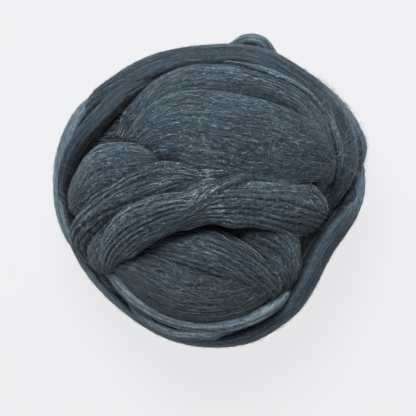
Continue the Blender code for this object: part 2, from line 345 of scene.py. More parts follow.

# The wraps, from the lowest to the last one laid. Most of their places were read off the photo and turned
# into degrees, and many were then adjusted. Others are guesses. The three whose names end in "edge" are
# thin edges of others, and aren't in the solid.
WRAPS = {
    "outer_ring": (
        Lay(3.6, 0.2, 30, 0.1, 0.06, 0.2, 0.2),
        Row(150, -12, 2, 8, 5),
        Row(180, -10, 7, 10, 5),
        Row(205, -9, 7.5, 10, 5.5),
        Row(232, -8, 7, 10, 6),
        Row(268, -6, 6.5, 10, 6),
        Row(300, 2, 5.5, 10, 6),
        Row(322, 9, 5.5, 10, 6),
        Row(340, 8, 4.5, 10, 6),
        Row(356, 0, 4.5, 9, 6),
        Row(10, -6, 5, 8, 5.5),
        Row(28, -18, 1, 7, 5),
    ),
    "left_outer": (
        Lay(2.8, 0.35, 25, 0.1, 0.1, 0.35, 0.2),
        Row(128, -2, 1, 5, 4),
        Row(145, 2, 5.5, 6, 4.5),
        Row(160, 3, 7, 6, 4.5),
        Row(180, 2, 7.5, 6, 4.5),
        Row(200, 0, 7, 6, 4.5),
        Row(214, -6, 3, 5, 4),
    ),
    "left_inner": (
        Lay(2.4, 1.0, 30, 0.1, 0.12, 0.2, 0.2),
        Row(107, 4, 0, 4, 3),
        Row(120, 16, 3, 5, 4),
        Row(133, 19, 5, 5, 5),
        Row(145, 20, 6, 5, 5),
        Row(156, 17, 6, 5, 5),
        Row(170, 12, 7, 4, 5),
        Row(184, 5, 6, 3, 4),
        Row(198, 2, 2, 3, 3),
    ),
    "back_low": (
        Lay(3.6, 0.45, -20, 0.1, 0.1, 0.2, 0.2),
        Row(14, -9, -2, 8, 4),
        Row(32, -5, 2, 10, 5),
        Row(54, -3, 4, 10, 5),
        Row(80, -3, 4, 9, 5),
        Row(110, -3, 4, 9, 5),
        Row(135, -6, 3, 9, 5),
        Row(158, -14, -2, 7, 4),
    ),
    "right_low": (
        Lay(2.8, 0.3, 20, 0.1, 0.1, 0.4, 0.2),
        Row(80, -24, -1, 5, 4),
        Row(62, -14, 4, 6, 5),
        Row(46, -4, 6, 6, 5),
        Row(33, 1, 8, 6, 4.5),
        Row(24, 1, 9, 5, 4.5),
        Row(16, 0, 9, 5, 4.5),
        Row(9, -2, 5.5, 5, 4),
        Row(0, -6, 0, 5, 4),
        Row(350, -10, -6, 4, 3),
    ),
    "top_band": (
        Lay(3.4, 0.5, 35, 0.1, 0.06, 0.1, 0.3),
        Row(160, -8, -2, 4, 3),
        Row(145, 4, 4, 5, 5),
        Row(132, 12, 6, 7, 6),
        Row(112, 12, 6.5, 9, 6),
        Row(92, 9, 5.5, 9, 6),
        Row(73, 9, 6.5, 9, 6),
        Row(55, 12, 6.5, 9, 6),
        Row(38, 13, 7.5, 9, 6),
        Row(22, 12, 6.5, 8, 6),
        Row(8, 13, 3, 7, 5),
        Row(357, 13, -2, 5, 4),
        Row(347, 12, -6, 4, 3),
    ),
    "top_fold": (
        Lay(2.8, 0.9, 60, 0, 0.1, 0.4, 0.4),
        Row(92, 4, 0, 4, 3),
        Row(84, 3, 6, 4.5, 4),
        Row(78, 3, 12, 4.5, 4.5),
        Row(71, 3, 12.5, 4.5, 4.5),
        Row(64, 3, 7, 4.5, 4),
        Row(56, 5, 1, 4, 3),
    ),
    "shawl": (
        Lay(3.0, 0.5, 15, 0.3, 0.06, -0.7, 0.4),
        Row(158, 25, -8, 5, 4),
        Row(146, 26, -4, 8, 4),
        Row(132, 27, -1, 10, 5),
        Row(116, 26, 2, 11, 5),
        Row(98, 25, 3, 12, 5),
        Row(78, 25, 3, 12, 5),
        Row(58, 23, 3, 10, 5),
        Row(40, 20, 3, 9, 5),
        Row(26, 22, 3, 8.5, 5),
        Row(10, 25, 0, 7, 4),
        Row(353, 24, -5, 5, 4),
    ),
    "shawl_edge": (
        Lay(1.5, 0.4, 30, 0, 0.3, 0.5, 0.5),
        Row(94, 10, 2, 1.5, 2),
        Row(80, 18, 6, 1.5, 2),
        Row(66, 21, 8.5, 1.5, 2),
        Row(50, 20, 9, 1.5, 2),
        Row(35, 19, 8.5, 1.5, 2),
        Row(20, 21, 8.5, 1.5, 2),
        Row(10, 20, 4.5, 1.5, 2),
        Row(2, 15, -2, 1.5, 2),
    ),
    "right_under": (
        Lay(3.0, 0.4, 20, 0.2, 0.1, 0, 0),
        Row(7, 4, -8, 5, 3),
        Row(358, 14, -5, 7, 4),
        Row(347, 19, -4, 8, 4),
        Row(334, 18, -4, 8, 4),
        Row(320, 14, -4, 7, 4),
        Row(306, 6, -5, 5.5, 4),
        Row(296, 2, -8, 4.5, 3),
    ),
    "bowl_under_edge": (
        Lay(1.8, 0.6, 20, 0.2, 0.2, 0.6, 0.6),
        Row(225, 0, -2, 3, 2),
        Row(236, 3, 5, 3.5, 2.5),
        Row(245, 9, 8.5, 4, 2.5),
        Row(253, 11, 9.5, 4, 2.5),
        Row(261, 14, 9.5, 4, 2.5),
        Row(269, 16, 9, 4, 2.5),
        Row(277, 16, 7, 3.5, 2.5),
        Row(287, 9, 1, 3, 2),
    ),
    "bowl_edge": (
        Lay(1.8, 0.6, -20, 0.2, 0.2, 0.6, 0.6),
        Row(214, 1, -2, 3, 2),
        Row(220, 13, 3.5, 4, 2.5),
        Row(233, 16, 6.5, 4.5, 2.5),
        Row(246, 17, 7.5, 4.5, 2.5),
        Row(261, 19, 8, 4.5, 2.5),
        Row(270, 19, 8, 4.5, 2.5),
        Row(286, 19, 7.5, 4.5, 2.5),
        Row(296, 18, 6.5, 4, 2.5),
        Row(306, 12, 2.5, 4, 2.5),
        Row(316, 1, -2, 3, 2),
    ),
    "bowl_under": (
        Lay(2.6, 0.7, -30, 0.2, 0.15, 0.9, -0.3),
        Row(214, 0, -4, 6, 3),
        Row(227, 5, 1, 8, 4),
        Row(240, 9, 3.5, 8.5, 4.5),
        Row(254, 10, 4.5, 8.5, 4.5),
        Row(268, 11, 3.5, 8.5, 4.5),
        Row(284, 10, 0, 7, 4),
        Row(300, 6, -5, 6, 3),
    ),
    "bowl": (
        Lay(3.0, 0.5, -20, 0.3, 0.08, 1.6, -0.3),
        Row(208, 6, -4, 5, 4),
        Row(217, 20, 1, 9, 5),
        Row(230, 28, 4, 13, 5.5),
        Row(249, 30, 5, 15, 6),
        Row(267, 31, 5, 15, 6),
        Row(286, 29, 4, 13.5, 5.5),
        Row(303, 22, 0, 9, 4),
        Row(317, 4, -5, 6, 3),
    ),
    "pocket_right": (
        Lay(2.8, 0.9, 20, 0.4, 0.15, 0.4, -2.0),
        Row(300, 62, -4, 7, 3),
        Row(318, 49, 0, 10, 4),
        Row(321, 36, 1, 11, 4),
        Row(317, 24, 1, 10, 4),
        Row(310, 10, -1, 8, 4),
        Row(302, 2, -5, 6, 3.5),
    ),
    "pocket": (
        Lay(2.2, 1.0, 10, 0.4, 0.1, 0.3, -1.0),
        Row(207, 14, -7, 6, 4),
        Row(214, 33, -3, 9, 4.5),
        Row(229, 47, 0, 12, 5),
        Row(254, 54, 2, 13.5, 5.5),
        Row(279, 51, 3, 12.5, 5.5),
        Row(293, 41, 3, 10.5, 5),
        Row(299, 28, 2, 9, 4.5),
        Row(301, 15, -1, 7, 4),
        Row(300, 4, -6, 5, 3),
    ),
    "lobe": (
        Lay(2.2, 0.5, 0, 0.2, 0.06, 0.25, 0.25),
        Row(137, 60, -4, 5, 3),
        Row(153, 54, 2, 7, 5),
        Row(162, 43, 5, 11, 5.5),
        Row(169, 31, 5.5, 11.5, 6),
        Row(178, 22, 4, 10, 6),
        Row(188, 5, 0, 7, 5),
        Row(196, 0, -5, 6, 4),
    ),
    "cap": (
        Lay(2.2, 0.25, 0, 0.3, 0.06, 0.2, 0.2),
        Row(162, 20, -8, 8, 4),
        Row(152, 36, -2, 11, 5),
        Row(135, 45, 4, 15.5, 6),
        Row(110, 52, 6, 20, 6),
        Row(75, 56, 6, 22, 6),
        Row(45, 49, 5, 21, 6),
        Row(28, 38, 4.5, 18, 6),
        Row(18, 23, 2.5, 15, 5),
        Row(12, 8, -5, 11, 4),
    ),
    "sash_under": (
        Lay(2.8, 1.2, 10, 0.4, 0.08, 0, 0),
        Row(221, 0, -5, 4, 4),
        Row(214, 3, 1, 7, 4.5),
        Row(208, 21, 4, 10, 5),
        Row(202, 38, 5, 12, 5),
        Row(197, 54, 5, 12.5, 5),
        Row(195, 72, 5, 12, 5),
        Row(100, 87, 4.5, 10, 4.5),
        Row(10, 76, 4, 10, 4),
        Row(0, 60, 3, 10, 4),
        Row(356, 44, 1, 9, 4),
        Row(352, 28, -4, 7, 3),
    ),
    "sash_upper": (
        Lay(2.4, 1.5, 10, 0.4, 0.08, 0.1, -0.2),
        Row(225, 0, -6, 4, 3),
        Row(217, 1, -1, 4.5, 4),
        Row(208, 4, 4, 5.5, 5),
        Row(200, 12, 7, 6, 5),
        Row(193, 26, 8, 7, 5),
        Row(186, 40, 9, 7.5, 5),
        Row(177, 53, 9, 8, 5),
        Row(167, 63, 9, 8, 5),
        Row(155, 72, 8, 6, 4),
        Row(138, 80, 6, 4, 3),
        Row(76, 84, 3, 3, 3),
        Row(17, 74, -2, 2.5, 3),
    ),
    "sash_lower": (
        Lay(2.4, 1.7, 10, 0.5, 0.26, 0.3, 0.2),
        Row(220, 2, -1, 3, 3.5),
        Row(215, 19, 4, 5.5, 4),
        Row(210, 32, 8, 8, 5),
        Row(206, 45, 10, 10, 5.5),
        Row(205, 57, 11, 10.5, 5.5),
        Row(207, 69, 11, 10, 5.5),
        Row(233, 80, 10.5, 10.5, 5.5),
        Row(309, 81, 10, 11.5, 5.5),
        Row(339, 71, 8, 12, 5),
        Row(344, 60, 6.5, 13, 4.5),
        Row(346, 48, 4.5, 13, 4),
        Row(346, 36, 2, 12, 4),
        Row(345, 22, -1, 10, 3.5),
        Row(344, 5, -5, 7, 3),
    ),
    "sash_twist": (
        Lay(1.7, 1.1, 40, 0.8, 0.2, 0.1, 0.1),
        Row(217, 20, 3, 2.5, 3),
        Row(215, 39, 9, 3, 3),
        Row(215, 53, 12, 4, 3),
        Row(219, 67, 13, 6, 3.5),
        Row(228, 79, 13.5, 7, 3.5),
        Row(312, 87, 12.5, 7, 3.5),
        Row(13, 76, 8.5, 5.5, 3),
        Row(16, 61, 2, 3, 3),
    ),
}

# One rounded value for each turn: painted shade that makes it dimmer as a whole than plain wool, or painted
# light that makes it paler if below 0.
# They were condensed from finer values, matched to the photo's brightness. A turn that isn't named
# has 0.
PAINTED_TURN_SHADING = {
    "outer_ring": 0.2,
    "left_outer": 0.2,
    "left_inner": 0.4,
    "right_low": 0.6,
    "top_band": 0.4,
    "top_fold": 0.2,
    "shawl": 0.4,
    "shawl_edge": 0.4,
    "right_under": 0.8,
    "bowl_under_edge": -0.7,
    "bowl_edge": -0.7,
    "bowl": 0.5,
    "pocket": 0.2,
    "lobe": 0.2,
    "cap": 0.4,
    "sash_under": 0.2,
    "sash_upper": 0.1,
    "sash_twist": 0.3,
}

# A turn gets painted shade at its ends, where it goes in under others: over this length, and this much at
# the very end.
TUCK_LENGTH, TUCK_SHADE = 34.0, 1.4

Wrap = namedtuple("Wrap", "seed lay tone middle across level half_width half_thickness")


def wrap_line(seed, lay, tone, rows):
    """A wrap's middle line as evenly spaced sections."""
    table = np.array(rows, float)
    ways = directions(table[:, 0], table[:, 1])
    radius = core_radius(ways) + table[:, 2]
    level = radius / core_radius(ways)
    knots = np.column_stack((ways * radius[:, None], level, table[:, 3:]))
    knots = np.concatenate((knots[:1], knots, knots[-1:]))
    share = np.linspace(0, 1, COURSE_STEPS, endpoint=False)[:, None]
    spans = [blend(*knots[start:start + 4], share) for start in range(len(rows) - 1)]
    curve = np.concatenate((*spans, knots[-1:]))
    curve[:, :3] = at_level(curve[:, :3], curve[:, 3])
    steps = np.linalg.norm(np.diff(curve[:, :3], axis=0), axis=1)
    run = np.concatenate(((0,), np.cumsum(steps)))
    count = int(run[-1] / SECTION_EVERY) + 1
    places = np.linspace(0, run[-1], count)
    values = np.column_stack([np.interp(places, run, column) for column in curve.T])
    middle = values[:, :3]
    across = unit(np.cross(np.gradient(middle, axis=0), outward(middle)))
    return Wrap(seed, lay, tone, middle, across, *values[:, 3:].T)


def partings(seed, run, girth, breadth):
    """How far ridges of a given breadth part: 0 on a ridge's crest, and up to 1 where it meets the next."""
    course = girth / breadth
    course = course + RIDGE_SWAY * smooth_noise(seed, run / RIDGE_LENGTH, course / RIDGES_TOGETHER)
    opened = 0.6 + 0.4 * smooth_noise(seed + OPENING_SEED, run / CREASE_LENGTH, np.round(course))
    return opened * (1 - np.abs(np.sin(np.pi * course))) ** CREASE_SHARPNESS


def creases(wrap, section, turn):
    """How deep the creases are at places on a wrap, as a share of its ridges' depth."""
    run, breadth = section * SECTION_EVERY, wrap.half_width.mean()
    girth = breadth * (turn + np.radians(wrap.lay.twist) * section / (len(wrap.level) - 1))
    main = partings(wrap.seed, run, girth, wrap.lay.ridge_breadth)
    fine = partings(wrap.seed + FINE_SEED, run, girth, FINE_BREADTH * wrap.lay.ridge_breadth)
    return main + FINE_CREASES * fine


def dimness(wrap, section, turn):
    """Painted shading at places on a wrap: shade in creases and at tucked ends, and light or shade by turn and
    at edges.
    """
    inset = wrap.half_width.mean() * (1 - np.abs(np.cos(turn)))
    along = section * SECTION_EVERY / WANDER_LENGTH
    uneven = 0.8 + 0.2 * smooth_noise(wrap.seed + EDGE_SEED, along, np.cos(turn) + 8)
    from_end = np.minimum(section, len(wrap.level) - 1 - section) * SECTION_EVERY
    tuck_shade = TUCK_SHADE * np.clip(1 - from_end / TUCK_LENGTH, 0, 1) ** 2
    edge = np.where(np.cos(turn) > 0, wrap.lay.pale_right, wrap.lay.pale_left)
    painted_edge_light = edge * uneven * np.clip(1 - inset / EDGE_BREADTH, 0, 1)
    return wrap.tone + tuck_shade + wrap.lay.ridge_depth * creases(wrap, section, turn) - painted_edge_light


def on_wrap(wrap, section, turn, proud):
    """Places on a wrap. A section is counted along it, turn is the angle round it from its right edge over
    its outer side, and proud is how far outside its surface they lie."""
    last = len(wrap.level) - 1
    first = np.clip(section.astype(int), 0, last - 1)
    share = section - first

    def there(values):
        weight = share[..., None] if values.ndim == 2 else share
        return values[first] * (1 - weight) + values[first + 1] * weight

    run, lay = section * SECTION_EVERY, wrap.lay
    swell = SWELL * smooth_noise(wrap.seed + SWELL_SEED, run / SWELL_LENGTH,
                                 turn * wrap.half_width.mean() / SWELL_BREADTH)
    ridges = lay.ridge_depth * (CREST - creases(wrap, section, turn)) + swell
    wander = 1 + lay.wander * smooth_noise(wrap.seed + WANDER_SEED, run / WANDER_LENGTH, np.cos(turn) + 8)
    closing = np.sqrt(np.clip(np.minimum(run, last * SECTION_EVERY - run) / END_LENGTH, 0, 1))
    wide = (there(wrap.half_width) * wander + 0.5 * ridges) * closing + proud
    thick = (there(wrap.half_thickness) + ridges) * closing + proud
    rise = np.sin(turn) * np.abs(np.sin(turn)) ** lay.thin_edges
    middle, across, level = there(wrap.middle), there(wrap.across), there(wrap.level)
    side = at_level(middle + across * (wide * np.cos(turn))[..., None], level)
    return side + outward(side) * (thick * rise)[..., None]


def add_wrap(mesh, wrap, point_every=POINT_EVERY, tile=0, tiles=1):
    """Lofts a wrap into a mesh, with its painted shading and two maps: for baking, and in millimetres along
    it.
    """
    sections = len(wrap.level) - 1
    girth = 2.2 * (wrap.half_width.max() + wrap.half_thickness.max())
    points = int(girth / point_every)
    baked = mesh.loops.layers.uv["OFBake"]
    run = mesh.loops.layers.uv["run"]
    before = len(mesh.verts)
    grid = bmesh.ops.create_grid(mesh, x_segments=sections, y_segments=points, size=0.5, calc_uvs=True)
    grid_places = np.array([vertex.co for vertex in grid["verts"]]) + 0.5
    section, around = grid_places[:, 0] * sections, grid_places[:, 1]
    turn = -TAU / 4 + TAU * around + TOP_CROWDING * np.sin(TAU * around)
    dim = mesh.verts.layers.float["dimness"]
    for vertex, place, level in zip(grid["verts"], on_table(on_wrap(wrap, section, turn, 0)),
                                    dimness(wrap, section, turn)):
        vertex.co = place
        vertex[dim] = level
    mesh.verts.ensure_lookup_table()
    faces = {face for vertex in grid["verts"] for face in vertex.link_faces}
    for face in faces:
        for loop in face.loops:
            share = loop[baked].uv.copy()
            loop[run].uv = (share.x * sections * SECTION_EVERY + 31 * wrap.seed, share.y * girth)
            loop[baked].uv = (share.x, (tile + share.y) / tiles)
    bmesh.ops.remove_doubles(mesh, verts=mesh.verts[before:], dist=WELD * MM)


def new_mesh():
    mesh = bmesh.new()
    mesh.loops.layers.uv.new("OFBake")
    mesh.loops.layers.uv.new("run")
    mesh.verts.layers.float.new("dimness")
    return mesh


def mesh_object(name, mesh):
    bmesh.ops.recalc_face_normals(mesh, faces=mesh.faces)
    data = bpy.data.meshes.new(name)
    mesh.to_mesh(data)
    mesh.free()
    return bpy.data.objects.new(name, data)


# The outer turns look smooth in the photo, which is also less sharp there. The sash looks parted into
# strands.
SMOOTH = ("outer_ring", "left_outer", "left_inner", "back_low", "right_low", "top_band", "top_fold",
          "right_under")
PARTED = ("sash_under", "sash_upper", "sash_lower", "sash_twist")

wraps = {}
for seed, (name, (lay, *rows)) in enumerate(WRAPS.items(), 1):
    wraps[name] = wrap_line(seed, lay, PAINTED_TURN_SHADING.get(name, 0), rows)
    mesh = new_mesh()
    add_wrap(mesh, wraps[name])
    if name in SMOOTH:
        cloth = smooth_wool
    elif name in PARTED:
        cloth = parted_wool
    else:
        cloth = wool
    finish_piece(mesh_object("wrap_" + name, mesh), cloth)

# --------------------------------------------------------------------------------------------------------
# The wraps that run under the ball, from one side to the other on great circles. They are flat where they
# touch the table. The photo shows none of them, so they are a guess.
# --------------------------------------------------------------------------------------------------------

# The azimuth that each starts from, how many degrees from the lowest point it passes, and the rest as in a
# row.
UnderWrap = namedtuple("UnderWrap", "azimuth lean lift half_width half_thickness")
UNDER_WRAPS = (
    UnderWrap(10, 76, 3.5, 12, 5),
    UnderWrap(100, 74, 4, 12, 5),
    UnderWrap(190, 76, 3, 12, 5),
    UnderWrap(280, 75, 4, 12, 5),
    UnderWrap(55, 54, 3, 13, 5),
    UnderWrap(175, 50, 3.5, 13, 5),
    UnderWrap(295, 52, 2.5, 13, 5),
    UnderWrap(20, 28, 2, 14, 5),
    UnderWrap(140, 24, 3.5, 14, 5),
    UnderWrap(260, 26, 2.5, 14, 5),
    UnderWrap(75, 2, 2, 15, 5),
)
UNDER_LAY = Lay(4.0, 0.9, 15, 0.2, 0.1, 0.2, 0.2)

# The angles along its circle at which one has its rows, the elevation where it starts, the seed of the first,
# and its points' distance, which is wider than on top because little of it shows from above.
UNDER_WRAP_SWEEP = np.arange(6, 175, 14)
UNDER_START = -4
UNDER_SEED = 30
UNDER_POINT_EVERY = 0.9

under_mesh = new_mesh()
for tile, under in enumerate(UNDER_WRAPS):
    start = directions(under.azimuth, UNDER_START)
    lowest = directions(under.azimuth + 90, under.lean - 90)
    sweep = np.radians(UNDER_WRAP_SWEEP)[:, None]
    ways = unit(start * np.cos(sweep) + lowest * np.sin(sweep))
    azimuths = np.degrees(np.arctan2(ways[:, 1], ways[:, 0]))
    elevations = np.degrees(np.arcsin(ways[:, 2]))
    rows = [Row(azimuth, elevation, *under[2:]) for azimuth, elevation in zip(azimuths, elevations)]
    wraps[f"under_{tile}"] = wrap_line(UNDER_SEED + tile, UNDER_LAY, 0, rows)
    add_wrap(under_mesh, wraps[f"under_{tile}"], UNDER_POINT_EVERY, tile, len(UNDER_WRAPS))
finish_piece(mesh_object("under_wraps", under_mesh), smooth_wool)

# --------------------------------------------------------------------------------------------------------
# Hollows and rim: painted shade makes the wool darkest down between two wraps, and painted light makes it
# paler round the ball's rim. Both are worked out over all the wraps, once they lie in place.
# --------------------------------------------------------------------------------------------------------

# The ways out that are tried from a place: how far, how many degrees from straight out, and how much painted
# shade it gets where all are blocked. They start a little off the skin, so as to clear its own ridges.
Fan = namedtuple("Fan", "reach tilt dimness")
FANS = (Fan(3.5, 62, 2.2), Fan(14, 42, 1.6))
FAN_WAYS = 6
FAN_START = 0.8

# How much paler painted light makes the rim, and how many degrees above and below the rim it starts to fade
# and then ends.
RIM_LIGHT = 0.7
RIM_LIGHT_START, RIM_LIGHT_END = 2.0, 14.0

surfaces = [piece.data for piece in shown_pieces()]
cover_places, cover_faces = [], []
for surface in surfaces:
    base = len(cover_places)
    cover_places += [vertex.co / MM - Vector((0, 0, MIDDLE_HEIGHT)) for vertex in surface.vertices]
    cover_faces += [[base + index for index in face.vertices] for face in surface.polygons]
cover = BVHTree.FromPolygons(cover_places, cover_faces)


def surroundings(points):
    """How much painted shade the hollows, and how much painted light the rim, give the wool at some points."""
    out = outward(points)
    beside = unit(np.cross(out, (0.3, 0.2, -1.0)))
    elevation = np.degrees(np.arcsin(unit(points)[:, 2]))
    rim_light = np.clip((RIM_LIGHT_END - np.abs(elevation)) / (RIM_LIGHT_END - RIM_LIGHT_START), 0, 1)
    level = -RIM_LIGHT * rim_light * rim_light * (3 - 2 * rim_light)
    for fan in FANS:
        tilt = np.radians(fan.tilt)
        for turn in np.arange(FAN_WAYS) * TAU / FAN_WAYS:
            sideways = beside * np.cos(turn) + np.cross(out, beside) * np.sin(turn)
            ways = out * np.cos(tilt) + sideways * np.sin(tilt)
            blocked = [cover.ray_cast(start, way, fan.reach)[0] is not None
                       for start, way in zip(points + FAN_START * out, ways)]
            level += fan.dimness / FAN_WAYS * np.array(blocked)
    return level


for surface in surfaces:
    if "dimness" not in surface.attributes:
        continue
    count = len(surface.vertices)
    points, level = np.empty(count * 3, np.float32), np.empty(count, np.float32)
    surface.vertices.foreach_get("co", points)
    surface.attributes["dimness"].data.foreach_get("value", level)
    level += surroundings(points.reshape(-1, 3) / MM - (0, 0, MIDDLE_HEIGHT))
    surface.attributes["dimness"].data.foreach_set("value", level)

# --------------------------------------------------------------------------------------------------------
# The fibres that show, lying along each wrap with a little crimp and drift. They are drawn four to eight
# times as thick as fine wool, which is about 0.02 mm and would not show, and are also shorter and far
# fewer.
# --------------------------------------------------------------------------------------------------------

FIBRE_SIDES = 3
FIBRE_POINTS = 9
FIBRES_IN_A_PIECE = 2400

# How long the fibres are, how thick, how far they stand off the wrap, how deep and how long the waves of
# their crimp are, how much they drift round the wrap, and how far their ends lift or dip.
Fibres = namedtuple("Fibres", "length radius proud crimp crimp_length drift lift_at_ends")
LAID = Fibres((8, 20), (0.045, 0.08), (-0.05, 0.25), (0.06, 0.2), (3.5, 7), 0.1, 0.3)

# A fibre is kept if most of its tested points show: nothing lies over them from just off the wrap to this
# far out.
COVER_START, COVER_SEARCH = 0.4, 14.0
SHOWN_SHARE = 0.6


def fibre_lines(wrap, count, kind, dice):
    """The middle lines of fibres laid along a wrap, on its outer side and a little past its edges. Each
    point comes with the wool's painted shading there."""
    last = len(wrap.level) - 1
    place = np.linspace(0, 1, FIBRE_POINTS)
    length = dice.uniform(*kind.length, (count, 1)) / SECTION_EVERY
    start = dice.uniform(-0.2, 1, (count, 1)) * last
    section = np.clip(start + place * length, 0.02 * last, 0.98 * last)
    spread = dice.uniform(-1.15, 1.15, (count, 1))
    beyond = 2.5 * np.clip(np.abs(spread) - 1, 0, None) * np.sign(spread)
    turn = TAU / 4 + np.arcsin(np.clip(spread, -1, 1)) + beyond
    half_width = wrap.half_width.mean()
    twist = -np.radians(wrap.lay.twist) * (section - start) / last
    drift = dice.normal(0, kind.drift, (count, 1)) * (place - 0.5)
    waves = TAU * place * length * SECTION_EVERY / dice.uniform(*kind.crimp_length, (count, 1))
    first, second = dice.uniform(0, TAU, (2, count, 1))
    crimp = dice.uniform(*kind.crimp, (count, 1))
    sideways = crimp * (np.sin(waves + first) + 0.6 * np.sin(0.43 * waves + second))
    turn = turn + twist + drift + 1.6 * sideways / half_width
    ends = kind.lift_at_ends * np.abs(2 * place - 1) ** 6 * dice.uniform(-1, 0.6, (count, 1))
    proud = dice.uniform(*kind.proud, (count, 1)) + 0.5 * crimp * np.sin(waves + second) + ends
    return np.concatenate((on_wrap(wrap, section, turn, proud), dimness(wrap, section, turn)[..., None]), -1)


def shown(lines, cover):
    """Which of the fibres show for most of their length."""
    kept = []
    for line in lines:
        tests = line[1::3, :3]
        open_air = sum(cover.ray_cast(point + way * COVER_START, way, COVER_SEARCH)[0] is None
                       for point, way in zip(tests, outward(tests)))
        kept.append(open_air >= SHOWN_SHARE * len(tests))
    return np.array(kept)


def fibre_piece(name, lines, radius, shade, material):
    """One mesh of many thin closed tubes. In the map for baking each has a cell of its own, with its
    unrolled wall below and its two caps above."""
    count, points = lines.shape[:2]
    along = unit(np.gradient(lines, axis=1))
    beside = unit(np.cross(along, outward(lines)))
    above = np.cross(beside, along)
    angle = TAU * np.arange(FIBRE_SIDES) / FIBRE_SIDES
    thin = radius * (1 - 0.75 * np.abs(np.linspace(-1, 1, points)) ** 8)
    ring = (beside[:, :, None] * np.cos(angle)[:, None] + above[:, :, None] * np.sin(angle)[:, None])
    places = on_table(lines[:, :, None] + ring * thin[:, :, None, None])
    first = np.arange(count)[:, None, None] * points * FIBRE_SIDES
    step = np.arange(points - 1)[:, None] * FIBRE_SIDES
    side = np.arange(FIBRE_SIDES)
    ahead = (side + 1) % FIBRE_SIDES
    corners = (step + side, step + ahead, step + FIBRE_SIDES + ahead, step + FIBRE_SIDES + side)
    walls = np.stack([first + np.broadcast_to(corner, (points - 1, FIBRE_SIDES)) for corner in corners], -1)
    caps = np.concatenate((first[:, :, 0] + side[::-1], first[:, :, 0] + side + (points - 1) * FIBRE_SIDES))
    data = bpy.data.meshes.new(name)
    data.from_pydata(places.reshape(-1, 3), [], walls.reshape(-1, 4).tolist() + caps.tolist())

    cells = int(np.ceil(np.sqrt(count)))
    corner = np.stack(np.divmod(np.arange(count), cells), -1)[:, None, None, None] / cells
    run, around = step[..., None] / FIBRE_SIDES / (points - 1), side[None, :, None] / FIBRE_SIDES
    span = 1 / (points - 1)
    unrolled = [np.concatenate(np.broadcast_arrays(run + span * far, around + wide / FIBRE_SIDES), -1)
                for far, wide in ((0, 0), (0, 1), (1, 1), (1, 0))]
    wall_map = corner + np.stack(unrolled, -2)[None] * (0.94, 0.84) / cells
    cap_corners = np.array(((0.02, 0.88), (0.12, 0.88), (0.02, 0.95)))
    cap_map = [corner[:, 0, 0] + (cap_corners + (shift, 0)) / cells for shift in (0, 0.2)]
    baked = data.uv_layers.new(name="OFBake")
    flat = np.concatenate((wall_map.reshape(-1), np.concatenate(cap_map).reshape(-1)))
    baked.data.foreach_set("uv", flat.astype(np.float32))
    shades = np.repeat(shade, FIBRE_SIDES, axis=1).reshape(-1)
    data.attributes.new("shade", "FLOAT", "POINT").data.foreach_set("value", shades.astype(np.float32))
    return finish_piece(bpy.data.objects.new(name, data), material)


# Single wool fibres: smoother and shinier than the roving as a whole, each a little lighter or darker.
loose_wool = bpy.data.materials.new("wool_fibre")
loose_wool.use_nodes = True
fibre_shader = loose_wool.node_tree.nodes["Principled BSDF"]
fibre_shader.inputs["Roughness"].default_value = 0.5
fibre_shader.inputs["Specular IOR Level"].default_value = 0.5
fibre_shader.inputs["Sheen Weight"].default_value = 0.2
fibre_shader.inputs["Sheen Roughness"].default_value = 0.4
fibre_shade = add_node(loose_wool, "ShaderNodeAttribute", {"attribute_name": "shade"})
fibre_colour = ramp(loose_wool, fibre_shade.outputs["Fac"], (0, "#1a262e"), (0.5, "#465a67"), (1, "#869ba7"))
loose_wool.node_tree.links.new(fibre_colour, fibre_shader.inputs["Base Color"])

# Fibres are tried in rounds of this many until enough of them show. Each wrap's share of a round follows
# its area, but smooth wraps and those underneath get fewer for their size.
FIBRE_COUNT = 9000
FIBRES_TRIED = 3000
UNDER_SHARE, SMOOTH_SHARE = 0.35, 0.3

# How much of the wool's painted shading, shade and light, the fibres on it get.
FIBRE_SHADING_SHARE = 0.5


def fibre_density(name):
    """How thickly a wrap is strewn with fibres, beside the wraps that have the most."""
    if name.startswith("under"):
        return UNDER_SHARE
    return SMOOTH_SHARE if name in SMOOTH else 1


dice = np.random.default_rng(7)
areas = {name: wrap.half_width.mean() * len(wrap.level) * fibre_density(name)
         for name, wrap in wraps.items()}
gathered = []
while sum(len(lines) for lines in gathered) < FIBRE_COUNT:
    for name, wrap in wraps.items():
        lines = fibre_lines(wrap, int(FIBRES_TRIED * areas[name] / sum(areas.values())), LAID, dice)
        gathered.append(lines[shown(lines, cover)])
lines = dice.permutation(np.concatenate(gathered))[:FIBRE_COUNT]
radius = dice.uniform(*LAID.radius, (FIBRE_COUNT, 1))
shade = dice.beta(1.1, 1.6, (FIBRE_COUNT, 1)) + dice.normal(0, 0.15, (FIBRE_COUNT, FIBRE_POINTS))
lines, dim = lines[..., :3], lines[..., 3]
# The fibres get painted shade and light: that of the wool under them and of the hollows and rim round them.
shade -= FIBRE_SHADING_SHARE * (dim + surroundings(lines.reshape(-1, 3)).reshape(dim.shape))
for number, start in enumerate(range(0, FIBRE_COUNT, FIBRES_IN_A_PIECE), 1):
    some = slice(start, start + FIBRES_IN_A_PIECE)
    fibre_piece(f"fibres_{number}", lines[some], radius[some], shade[some], loose_wool)

# --------------------------------------------------------------------------------------------------------
# The fuzz: single loose fibres. They lie across the wraps at any angle, pass over the creases between them,
# and stand off the rim as a thin halo, most of all on the ball's fuzzy right side.
# --------------------------------------------------------------------------------------------------------

STRAY_POINTS = 8
STRAY_RADIUS = (0.03, 0.052)
